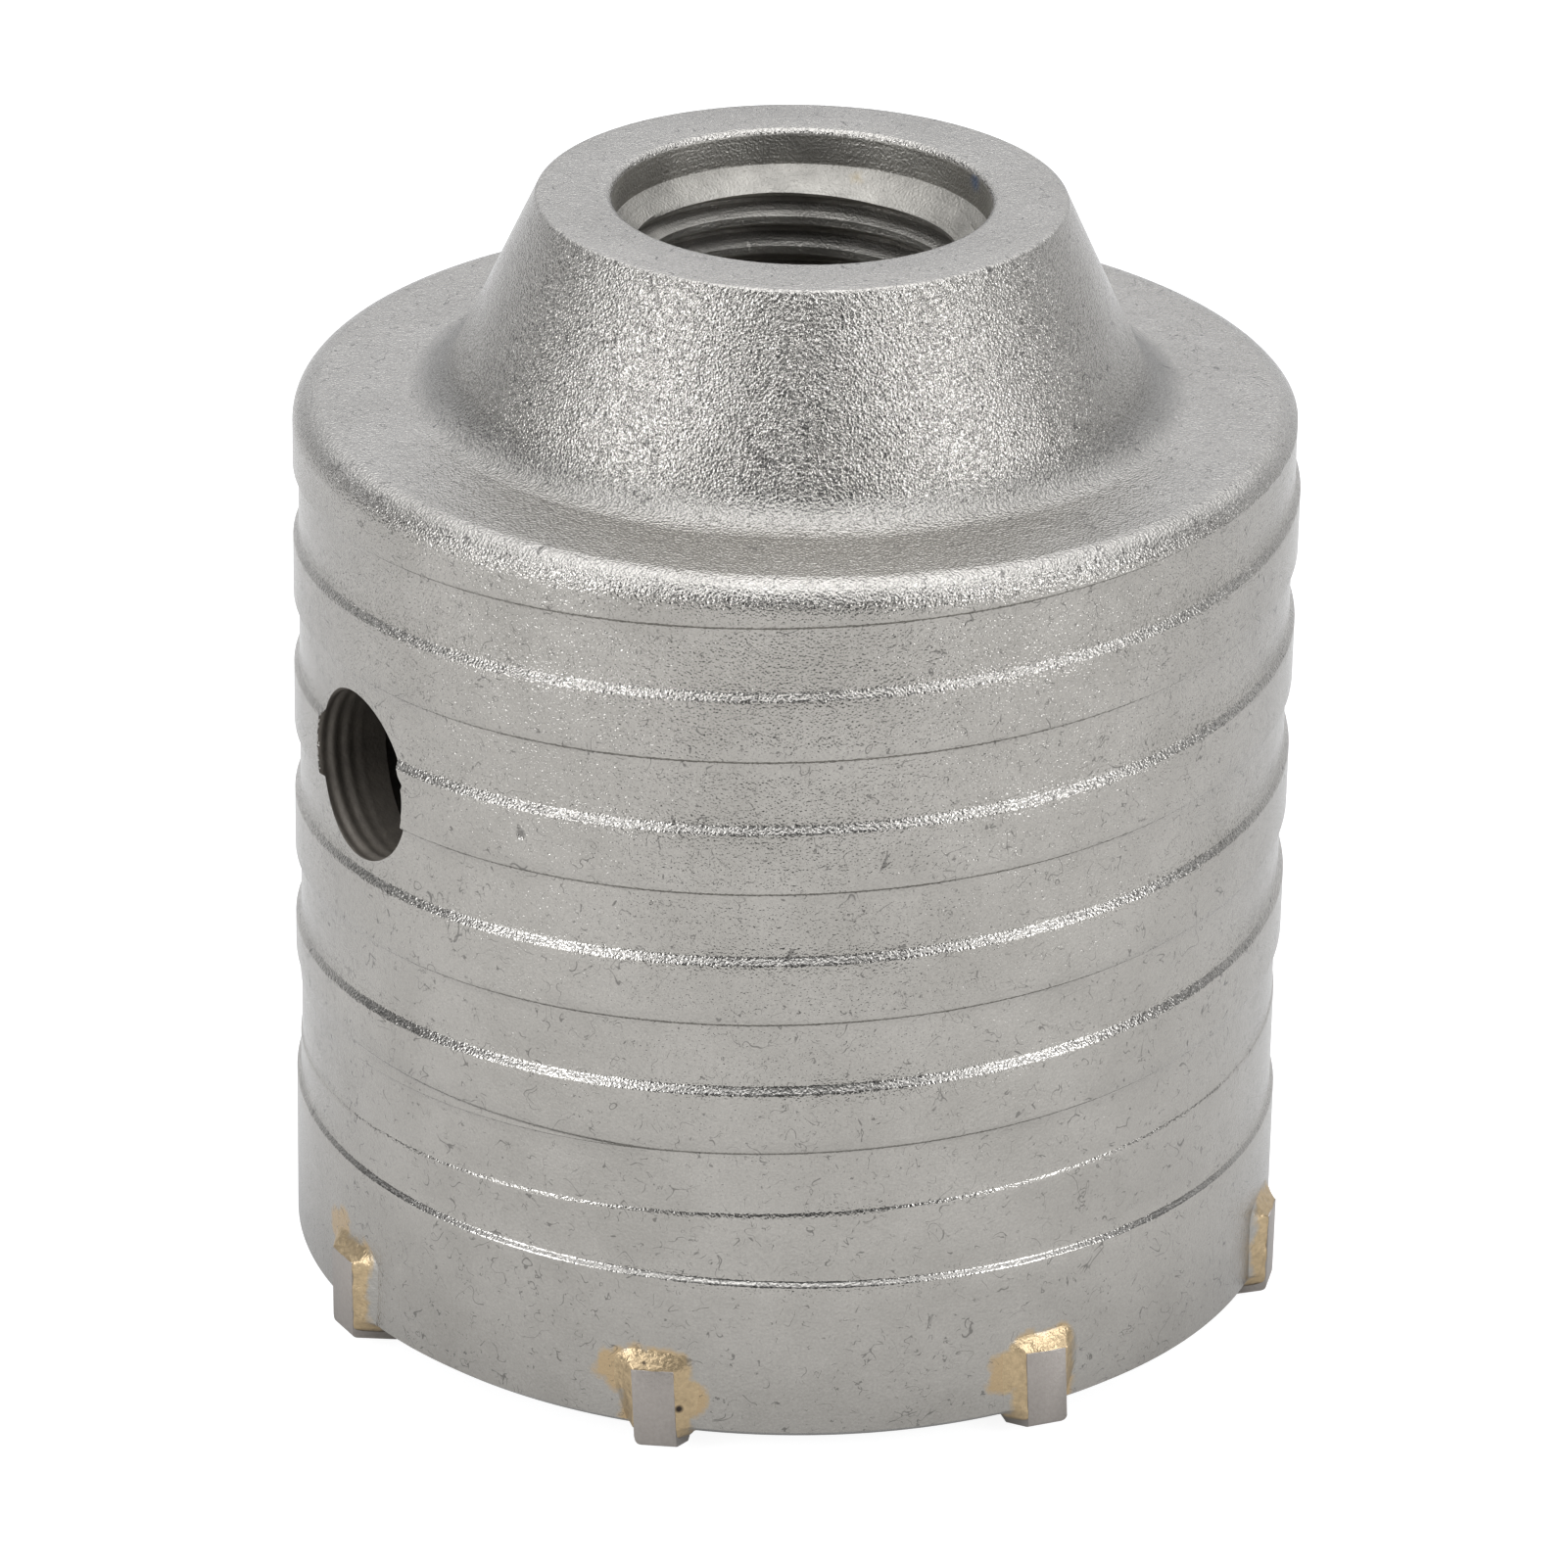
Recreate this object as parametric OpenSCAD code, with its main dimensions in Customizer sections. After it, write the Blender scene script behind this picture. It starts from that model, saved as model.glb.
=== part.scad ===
// Carbide tipped core drill bit, a hollow cup that screws on a threaded arbor.
// The bit stands on its cutting teeth: Z = 0 is the cutting plane and +Z runs up the axis to the hub.
// Azimuth 0 faces -Y and grows towards +X. Lengths are millimetres, angles are degrees.

/* [Cup wall] */
// Cutting diameter over the carbide tips
cut_d = 65; // [60:1:90]
// Reach of a tip outside the wall
tip_out = 0.9; // [0.6:0.1:1.5]
// Thickness of the cup wall
wall = 4.7; // [4:0.1:6]
// Height of the flat shoulder over the cutting plane
shoulder_z = 59.1; // [54:0.1:90]
// Radius of the rounded outer edge of the shoulder
shoulder_r = 1.9; // [1.6:0.1:3]
// Thickness of the end wall under the shoulder
crown_t = 6.7; // [5:0.1:10]
// Radius in the inner corner between the wall and the end wall
inner_r = 3; // [1:0.5:4]
// Width of the bevel at the lower edge of the wall, measured along the radius
rim_bevel = 0.8; // [0.4:0.1:1.2]
// Height of the bevel at the lower edge of the wall
rim_bevel_h = 0.6; // [0.4:0.1:1]

/* [Hub] */
// Height of the hub face over the shoulder
hub_h = 12.9; // [9:0.1:18]
// Diameter of the hub at its top face
hub_top_d = 33; // [30:0.1:38]
// Slope of the hub cone, as the angle between its side and the axis
hub_angle = 24.9; // [15:0.1:30]
// Radius of the hollow fillet between the hub cone and the shoulder
hub_fillet_r = 3.3; // [1:0.1:4]
// Radius that breaks the outer edge of the hub face
hub_edge_r = 0.3; // [0.1:0.05:0.6]
// Major diameter of the thread in the hub bore
thread_d = 22; // [16:1:22]
// Pitch of the thread in the hub bore
thread_pitch = 2; // [1:0.25:2.5]
// Diameter of the plain counterbore over the thread
counterbore_d = 23.5; // [22.6:0.1:26]
// Depth of the plain counterbore
counterbore_h = 2.3; // [1:0.1:4]
// Slope of the lead-in cone, as the angle between its side and the axis
lead_angle = 50; // [35:1:60]

/* [Helical groove] */
// Rise of the groove in one turn, right handed
groove_pitch = 8.72; // [8:0.01:12]
// Width of the groove where it opens on the wall
groove_w = 4.8; // [3:0.1:5.5]
// Depth of the groove below the wall
groove_depth = 0.36; // [0.2:0.02:0.6]
// Height taken up by each sloping side of the groove
groove_flank = 0.43; // [0.2:0.01:0.8]
// Height of the groove's lower edge at azimuth 0, on the fourth turn
groove_z = 42.95; // [40:0.01:46]
// Height of the lower edge of the level run-out ring
ring_z = 12.35; // [10:0.05:16]
// Width of the level run-out ring
ring_w = 8.9; // [7:0.1:10]
// Depth of the run-out ring below the wall
ring_depth = 0.32; // [0.16:0.02:0.5]

/* [Side hole] */
// Diameter of the hole through the wall
hole_d = 11; // [6:0.1:14]
// Height of the centre of the hole
hole_z = 39.3; // [30:0.1:44]
// Azimuth of the hole
hole_az = -59; // [-180:1:180]

/* [Carbide tips] */
// Number of tips round the rim
tip_n = 8; // [6:1:12]
// Thickness of a tip along the rim
tip_t = 2.6; // [2:0.1:4]
// Reach of a tip into the cup, inside the wall
tip_inner = 0.7; // [0.2:0.1:1.2]
// Height of the top of a tip over the cutting plane
tip_top = 6.2; // [5:0.1:8]
// Height of the wall's lower edge over the cutting plane
tip_reach = 1.6; // [1:0.1:2.4]
// Rise of the sloping cutting edge from its crest to the outer corner
tip_roof = 1.3; // [0.6:0.05:1.6]
// Radius that relieves the outer lower corner of a tip
tip_corner_r = 0.6; // [0.5:0.1:1.6]
// Azimuth of the first tip
tip_az = -58.9; // [-180:0.1:180]

/* [Braze] */
// Braze thickness between a tip and its slot
braze_gap = 0.15; // [0.1:0.01:0.3]
// Width of the braze bead over the wall, beside and above a tip
bead_w = 1.25; // [0.6:0.05:1.6]
// Reach of a tip outside its bead
bead_lip = 0.1; // [0.1:0.05:0.4]

/* [Hidden] */

// Fineness of the round shapes and of the helical groove
round_fn = 180;
groove_step = 5;

// Overshoot of a cutting shape past the face that it opens
over = 1;

tip_r = cut_d / 2;
cup_r = tip_r - tip_out;
cup_bore_r = cup_r - wall;
cavity_z = shoulder_z - crown_t;
rim_z = tip_reach;
hub_z = shoulder_z + hub_h;
hub_top_r = hub_top_d / 2;
hub_foot_r = hub_top_r + hub_h * tan(hub_angle);
tip_in_r = cup_bore_r - tip_inner;
crest_r = (tip_r + tip_in_r) / 2;
bead_t = tip_out - bead_lip;

// Crest radius of an internal metric thread, 5/8 of the sharp height inside the major radius
thread_h = thread_pitch * 5 / 8 * sqrt(3) / 2;
thread_crest_r = thread_d / 2 - thread_h;
counterbore_r = counterbore_d / 2;
counterbore_z = hub_z - counterbore_h;
lead_z = counterbore_z - (counterbore_r - thread_crest_r) / tan(lead_angle);

// Points of a round corner between two angles
function arc(c, r, a0, a1, n = 12) =
    [for (i = [0:n]) let (a = a0 + (a1 - a0) * i / n) [c[0] + r * cos(a), c[1] + r * sin(a)]];

// Centre of the hollow fillet, tangent to the shoulder and to the hub cone
fillet_z = shoulder_z + hub_fillet_r;
fillet_x = hub_foot_r - hub_fillet_r * tan(hub_angle) + hub_fillet_r / cos(hub_angle);

// Centre of the small edge radius, tangent to the hub face and to the hub cone
edge_z = hub_z - hub_edge_r;
edge_x = hub_top_r + hub_edge_r * tan(hub_angle) - hub_edge_r / cos(hub_angle);

// Half section of the cup without its grooves, slots and hole
module cup_section() {
    polygon(concat(
        [[cup_bore_r, rim_z], [cup_r - rim_bevel, rim_z], [cup_r, rim_z + rim_bevel_h]],
        arc([cup_r - shoulder_r, shoulder_z - shoulder_r], shoulder_r, 0, 90),
        arc([fillet_x, fillet_z], hub_fillet_r, 270, 180 + hub_angle),
        arc([edge_x, edge_z], hub_edge_r, hub_angle, 90, 4),
        [[counterbore_r, hub_z], [counterbore_r, counterbore_z], [thread_crest_r, lead_z],
            [thread_crest_r, cavity_z + thread_h], [thread_d / 2, cavity_z]],
        arc([cup_bore_r - inner_r, cavity_z - inner_r], inner_r, 90, 0, 8)));
}

module cup_blank() {
    rotate_extrude($fn = round_fn)
        cup_section();
}

// Level ring that the helical groove runs out into
module runout_ring() {
    rotate_extrude($fn = round_fn)
        polygon([
            [cup_r - ring_depth, ring_z + groove_flank],
            [cup_r, ring_z],
            [cup_r + over, ring_z],
            [cup_r + over, ring_z + ring_w],
            [cup_r, ring_z + ring_w],
            [cup_r - ring_depth, ring_z + ring_w - groove_flank]]);
}

// Solid through a row of outlines with equal numbers of points
module loft(sections) {
    n = len(sections[0]);
    last = (len(sections) - 1) * n;
    points = [for (outline = sections) each outline];
    sides = [for (i = [0:n:last - n]) for (j = [0:n - 1])
        let (a = i + j, b = i + (j + 1) % n)
        each [[a + n, b + n, b], [a + n, b, a]]];
    ends = [[for (j = [0:n - 1]) j], [for (j = [n - 1:-1:0]) last + j]];
    polyhedron(points, concat(sides, ends), convexity = 12);
}

// The helix starts inside the ring and ends above the shoulder
groove_first = ceil((ring_z + groove_flank / 2 - groove_z) / groove_pitch * 360 / groove_step);
groove_last = ceil((shoulder_z + over - groove_z) / groove_pitch * 360 / groove_step);

// Radii of the groove cutter, whose straight steps lie half inside and half outside the true floor
floor_r = (cup_r - groove_depth) * 2 / (1 + cos(groove_step / 2));
mouth_r = cup_r + groove_depth;

// Section of the groove cutter as radius and height over the groove's lower edge
groove_section = [
    [floor_r, groove_flank],
    [floor_r, groove_w - groove_flank],
    [mouth_r, groove_w + groove_flank],
    [mouth_r, -groove_flank]];

// Helical groove, with one section every step
module helical_groove() {
    loft([for (i = [groove_first:groove_last])
        let (a = i * groove_step, z = groove_z + groove_pitch * a / 360)
        [for (p = groove_section) [p[0] * sin(a), -p[0] * cos(a), z + p[1]]]]);
}

// Places a shape drawn along +X at an azimuth
module at_azimuth(az) {
    rotate(az - 90)
        children();
}

function tip_azimuth(i) = tip_az + (i - 1) * 360 / tip_n;

// Slot in the wall for one tip and the braze round it
module tip_slot() {
    translate([cup_bore_r - over, -tip_t / 2 - braze_gap, rim_z - over])
        cube([wall + 2 * over, tip_t + 2 * braze_gap, tip_top + braze_gap - rim_z + over]);
}

module cup_body() {
    color([0.66, 0.65, 0.63])
        difference() {
            cup_blank();
            runout_ring();
            helical_groove();
            for (i = [1:tip_n])
                at_azimuth(tip_azimuth(i))
                    tip_slot();
            at_azimuth(hole_az)
                translate([0, 0, hole_z])
                    rotate([0, 90, 0])
                        cylinder(h = cup_r + over, d = hole_d, $fn = round_fn);
        }
}

// Outline of a tip seen along the rim, as radius and height, with a roof shaped cutting edge
roof_angle = atan2(tip_roof, tip_r - crest_r);
corner_x = tip_r - tip_corner_r;
corner_z = tip_roof + tip_corner_r / cos(roof_angle) - tip_corner_r * tan(roof_angle);

module tip_outline() {
    polygon(concat(
        [[tip_in_r, tip_roof], [crest_r, 0]],
        arc([corner_x, corner_z], tip_corner_r, roof_angle - 90, 0, 6),
        [[tip_r + over, corner_z], [tip_r + over, tip_top], [tip_in_r, tip_top]]));
}

// One tip, its outer face ground round to the cutting diameter
module tip(i) {
    color([0.56, 0.56, 0.57])
        intersection() {
            at_azimuth(tip_azimuth(i))
                rotate([90, 0, 0])
                    linear_extrude(height = tip_t, center = true)
                        tip_outline();
            cylinder(h = tip_top + over, r = tip_r, $fn = round_fn);
        }
}

// Bead round a tip: it slopes from the wall up to the tip on three sides, under a round arch
module bead() {
    half = tip_t / 2;
    low_w = 2 * bead_w - braze_gap;
    low_x = cup_r - bead_t;
    high_x = cup_r + bead_t;
    arch_r = bead_w + half / 2;
    intersection() {
        translate([0, 0, rim_z])
            linear_extrude(height = tip_top + low_w - rim_z)
                polygon([[low_x, -half - low_w], [high_x, -half - braze_gap],
                    [high_x, half + braze_gap], [low_x, half + low_w]]);
        rotate([90, 0, 0])
            linear_extrude(height = 2 * (half + low_w), center = true)
                polygon([[low_x, 0], [high_x, 0], [high_x, tip_top + braze_gap],
                    [low_x, tip_top + low_w]]);
        rotate([90, 0, 90])
            linear_extrude(height = high_x + over)
                polygon(concat(
                    [[-half - bead_w, 0], [half + bead_w, 0]],
                    arc([half + bead_w - arch_r, tip_top + bead_w - arch_r], arch_r, 0, 90, 6),
                    arc([arch_r - half - bead_w, tip_top + bead_w - arch_r], arch_r, 90, 180, 6)));
    }
}

// Solid disc with the outer form of the cup's lower end
module rim_disc() {
    rotate_extrude($fn = round_fn)
        polygon([[0, 0], [cup_r - rim_bevel * (1 + rim_z / rim_bevel_h), 0],
            [cup_r, rim_z + rim_bevel_h], [cup_r, ring_z], [0, ring_z]]);
}

// Braze of one tip: a thin layer that fills the slot round it and a bead on the outside of the wall
module braze(i) {
    color([0.72, 0.62, 0.44])
        difference() {
            at_azimuth(tip_azimuth(i)) {
                bead();
                translate([cup_bore_r, -tip_t, rim_z])
                    cube([wall - bead_t / 2, 2 * tip_t, tip_top + over - rim_z]);
            }
            difference() {
                rim_disc();
                at_azimuth(tip_azimuth(i))
                    tip_slot();
            }
            at_azimuth(tip_azimuth(i))
                translate([0, -tip_t / 2, -over])
                    cube([tip_r + over, tip_t, tip_top + over]);
        }
}

cup_body();
for (i = [1:tip_n]) {
    tip(i);
    braze(i);
}
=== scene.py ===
import random
from math import ceil, cos, degrees, pi, radians, sin, sqrt, tan

import bmesh
import bpy
import numpy as np
from mathutils import Matrix, Vector


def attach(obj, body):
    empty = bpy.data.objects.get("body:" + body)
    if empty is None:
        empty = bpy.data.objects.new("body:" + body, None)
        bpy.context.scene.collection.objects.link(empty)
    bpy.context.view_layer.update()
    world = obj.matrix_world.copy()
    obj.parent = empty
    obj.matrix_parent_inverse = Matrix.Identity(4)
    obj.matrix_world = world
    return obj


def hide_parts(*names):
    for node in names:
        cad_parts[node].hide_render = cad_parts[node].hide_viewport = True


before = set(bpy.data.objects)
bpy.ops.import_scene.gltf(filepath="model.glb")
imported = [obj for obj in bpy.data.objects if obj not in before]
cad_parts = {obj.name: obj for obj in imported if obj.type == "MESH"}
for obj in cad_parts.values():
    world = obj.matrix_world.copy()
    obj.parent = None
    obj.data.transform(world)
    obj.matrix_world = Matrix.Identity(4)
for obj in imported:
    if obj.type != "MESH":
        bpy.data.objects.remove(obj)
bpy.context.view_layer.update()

bl_info = {
    "name": "Core drill bit",
    "version": (1, 0, 0),
    "blender": (4, 5, 0),
    "location": "View3D > Sidebar > Core bit",
    "description": "Builds a carbide tipped core drill bit and the stage it stands on",
    "category": "Object",
}

MM = 0.001
CUP, TIPS, BRAZES = "cup_body", "carbide_tip_", "braze_joint_"
TIP_COUNT = sum(name.startswith(TIPS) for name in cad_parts)


def length(name, description, default):
    """A size in metres whose default is given in millimetres."""
    return bpy.props.FloatProperty(name=name, description=description, default=default * MM,
                                   unit="LENGTH", subtype="DISTANCE", precision=5)


def angle(name, description, default):
    """An angle whose default is given in degrees."""
    return bpy.props.FloatProperty(name=name, description=description,
                                   default=radians(default), unit="ROTATION", subtype="ANGLE")


def linear(hex_code):
    """Linear RGBA of an sRGB hex colour."""
    parts = [int(hex_code[i:i + 2], 16) / 255 for i in (1, 3, 5)]
    light = [p / 12.92 if p <= 0.04045 else ((p + 0.055) / 1.055) ** 2.4 for p in parts]
    return (*light, 1.0)


def colour(name, description, hex_code):
    """A colour whose default is given as sRGB hex."""
    return bpy.props.FloatVectorProperty(name=name, description=description, size=4, min=0, max=1,
                                         default=linear(hex_code), subtype="COLOR")


class CupSizes(bpy.types.PropertyGroup):
    """Sizes of the steel cup, its hub and its groove."""
    wall_r: length("Wall radius", "Radius of the outside of the cup", 31.6)
    bore_r: length("Inner radius", "Radius of the inside of the cup", 26.9)
    rim_z: length("Rim height", "Height of the lower edge of the wall", 1.6)
    rim_bevel: length("Rim bevel", "Width of the bevel at the lower edge", 0.8)
    rim_bevel_h: length("Rim bevel height", "Height of the bevel at the lower edge", 0.6)
    shoulder_z: length("Shoulder height", "Height of the flat shoulder", 59.1)
    shoulder_r: length("Shoulder radius", "Radius of the shoulder's outer edge", 1.9)
    cavity_z: length("Cavity height", "Height of the inner face of the end wall", 52.4)
    inner_r: length("Inner corner", "Radius of the corner inside the cup", 3.0)
    hub_z: length("Hub height", "Height of the hub face", 72.0)
    hub_top_r: length("Hub radius", "Radius of the hub at its face", 16.5)
    hub_angle: angle("Hub cone", "Slope of the hub cone", 24.9)
    hub_fillet_r: length("Hub fillet", "Radius of the fillet at the foot of the hub", 3.3)
    hub_edge_r: length("Hub edge", "Radius on the edge of the hub face", 0.3)
    bore_lip_r: length("Bore lip", "Radius on the inner edge of the hub face", 0.45)
    thread_d: length("Thread", "Major diameter of the thread", 22.0)
    thread_pitch: length("Thread pitch", "Pitch of the thread", 2.0)
    thread_z: length("Thread start", "Height of a thread crest at azimuth 0", 67.57)
    counterbore_r: length("Counterbore", "Radius of the counterbore", 11.75)
    counterbore_z: length("Counterbore floor", "Height of the foot of the counterbore", 69.7)
    lead_z: length("Lead-in", "Height of the foot of the lead-in cone", 68.16)
    groove_pitch: length("Groove pitch", "Rise of the groove in one turn", 8.72)
    groove_w: length("Groove width", "Width of the groove at its mouth", 4.8)
    groove_depth: length("Groove depth", "Depth of the groove", 0.36)
    groove_flank: length("Groove flank", "Height of the lower sloping side of the groove", 0.43)
    groove_lip: length("Groove lip", "Height of the upper, steeper side of the groove", 0.24)
    groove_z: length("Groove height", "Height of a lower edge at azimuth 0", 42.95)
    ring_z: length("Ring height", "Height of the lower edge of the run-out ring", 12.35)
    ring_w: length("Ring width", "Width of the run-out ring", 8.9)
    ring_depth: length("Ring depth", "Depth of the run-out ring", 0.27)
    ring_flank: length("Ring flank", "Height of the sloping sides of the run-out ring", 0.25)
    hole_r: length("Side hole", "Radius of the side hole", 5.5)
    hole_z: length("Side hole height", "Height of the centre of the side hole", 39.3)
    hole_az: angle("Side hole azimuth", "Azimuth of the side hole", -59.0)
    hole_pitch: length("Side hole ridges", "Pitch of the ridges in the side hole", 1.0)


class TipSizes(bpy.types.PropertyGroup):
    """Sizes of the carbide tips and their braze."""
    tip_r: length("Cutting radius", "Radius over the tips", 32.5)
    inner_r: length("Inner radius", "Radius of the inner face of a tip", 26.2)
    thickness: length("Thickness", "Thickness of a tip along the rim", 2.6)
    top: length("Top", "Height of the top of a tip", 6.2)
    roof: length("Roof", "Rise of the cutting edge from its crest to the outer corner", 1.3)
    worn_r: length("Worn edge", "Radius to which one lower edge is worn", 0.55)
    outer_drop: bpy.props.FloatProperty(
        name="Outer corner", description="Height of the outer corner, as part of the solid's",
        default=0.72)
    first_az: angle("First azimuth", "Azimuth of the first tip", -58.9)
    gap: length("Braze layer", "Thickness of the braze in the slot", 0.15)
    bead_w: length("Bead width", "Width of the bead above a tip", 1.05)
    bead_side_w: length("Bead side width", "Width of the bead beside a tip", 1.45)


class Finishes(bpy.types.PropertyGroup):
    """Colours of the finishes."""
    steel: colour("Steel", "Bead blasted steel", "#A29F99")
    steel_dark: colour("Steel, dull", "Dull patches on the steel", "#9A9791")
    carbide: colour("Carbide", "Ground cemented carbide", "#A09A94")
    braze: colour("Braze", "Blasted brazing alloy", "#B5A07E")
    stain: colour("Braze stain", "Thin braze on the steel", "#B09A78")
    # The pore colour is also painted as shade on the braze that hangs below the rim
    pore_and_shade: colour("Pores", "Dark pores in the braze", "#3A3430")
    dust: colour("Fibres", "Fine dark fibres of dust", "#4A4846")
    turned: colour("Turned steel", "Steel in the bore", "#9A9790")
    # The oil colour is also painted as shade on the flanks and roots of the thread
    oil_and_root_shade: colour("Oiled steel", "Steel with cutting oil on it", "#544F48")
    oil_light: colour("Oiled steel, light", "Lighter smears of it", "#766F65")


def sizes(name):
    """The sizes or colours that the scene holds under this name."""
    return getattr(bpy.context.scene, name)


def around(r, az, z):
    """The point at a radius, azimuth and height: azimuth 0 faces -Y and grows towards +X."""
    return r * sin(az), -r * cos(az), z


def arc(cx, cz, r, start, end, steps):
    """Points of a round corner between two angles in degrees."""
    return [(cx + r * cos(radians(start + (end - start) * i / steps)),
             cz + r * sin(radians(start + (end - start) * i / steps))) for i in range(steps + 1)]


def between(first, last, parts):
    """The points that split the line between two points into equal parts."""
    return [tuple(a + (b - a) * i / parts for a, b in zip(first, last)) for i in range(1, parts)]


def spaced(values, step):
    """The sorted values with others put between them, no more than a step apart."""
    values = sorted(set(round(v, 6) for v in values))
    out = []
    for low, high in zip(values, values[1:]):
        n = max(1, ceil((high - low) / step))
        out += [low + (high - low) * i / n for i in range(n)]
    return out + values[-1:]


# Points nearer than this are one
WELD = 0.002 * MM


class Shell:
    """Collects rows of points round the axis into one closed mesh."""

    def __init__(self, columns):
        self.az = np.linspace(-pi, pi, columns + 1)
        self.rows = []

    def rings(self, points):
        """One level row for each radius and height."""
        for point in points:
            self.rows.append([np.full(len(self.az), value) for value in point])

    def wall(self, z_level, z_helix, radius, upward):
        """Rows that follow both level lines and helical ones: each column has its lines in
        order of height, so a row passes from one line to the other where they cross."""
        low, high = min(z_level), max(z_level)
        lines = [np.full(len(self.az), z) for z in z_level]
        lines += [np.clip(line(self.az), low, high) for line in z_helix]
        grid = np.sort(np.array(lines), axis=0)
        for z in (grid if upward else grid[::-1]):
            self.rows.append((radius(self.az, z), z))

    def mesh(self, name):
        az = self.az
        r = np.array([row[0] for row in self.rows])
        z = np.array([row[1] for row in self.rows])
        points = np.stack([r * np.sin(az), -r * np.cos(az), z], axis=-1)
        places = np.round(points.reshape(-1, 3) / WELD).astype(np.int64)
        keys, inverse = np.unique(places, axis=0, return_inverse=True)
        index = inverse.reshape(points.shape[:2])
        used = np.zeros((len(keys), 3))
        used[inverse.ravel()] = points.reshape(-1, 3)
        index = np.vstack([index, index[:1]])
        faces = []
        a, b, c, d = index[:-1, :-1], index[:-1, 1:], index[1:, 1:], index[1:, :-1]
        for quad in zip(a.ravel(), b.ravel(), c.ravel(), d.ravel()):
            face = []
            for v in quad:
                if v not in face:
                    face.append(int(v))
            if len(face) > 2:
                faces.append(face)
        data = bpy.data.meshes.new(name)
        data.from_pydata([tuple(p) for p in used], [], faces)
        data.validate()
        return data


def add_object(name, data):
    obj = bpy.data.objects.new(name, data)
    bpy.context.scene.collection.objects.link(obj)
    return obj


def ramp(x, points):
    """Piecewise straight line through (x, value) points."""
    xs, ys = zip(*points)
    return np.interp(x, xs, ys)


def eased(run, depth, soften):
    """Points of a flank from (0, 0) inward, with its two corners rounded off."""
    return [(-soften, 0.0), (0.0, 0.25 * depth * soften / run), (soften, depth * soften / run),
            (run - soften, depth - depth * soften / run),
            (run, depth - 0.25 * depth * soften / run), (run + soften, depth)]


def thread_height(s):
    """Height of the flanks of the metric thread in the hub."""
    return s.thread_pitch * 5 / 8 * sqrt(3) / 2


# Rounding of the corners of the groove, columns of points round the cup, and the greatest height
# of a row of faces on its wall and in its bore
SOFTEN, COLUMNS, ROW_STEP, BORE_STEP = 0.09 * MM, 720, 1.2 * MM, 0.25 * MM


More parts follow.
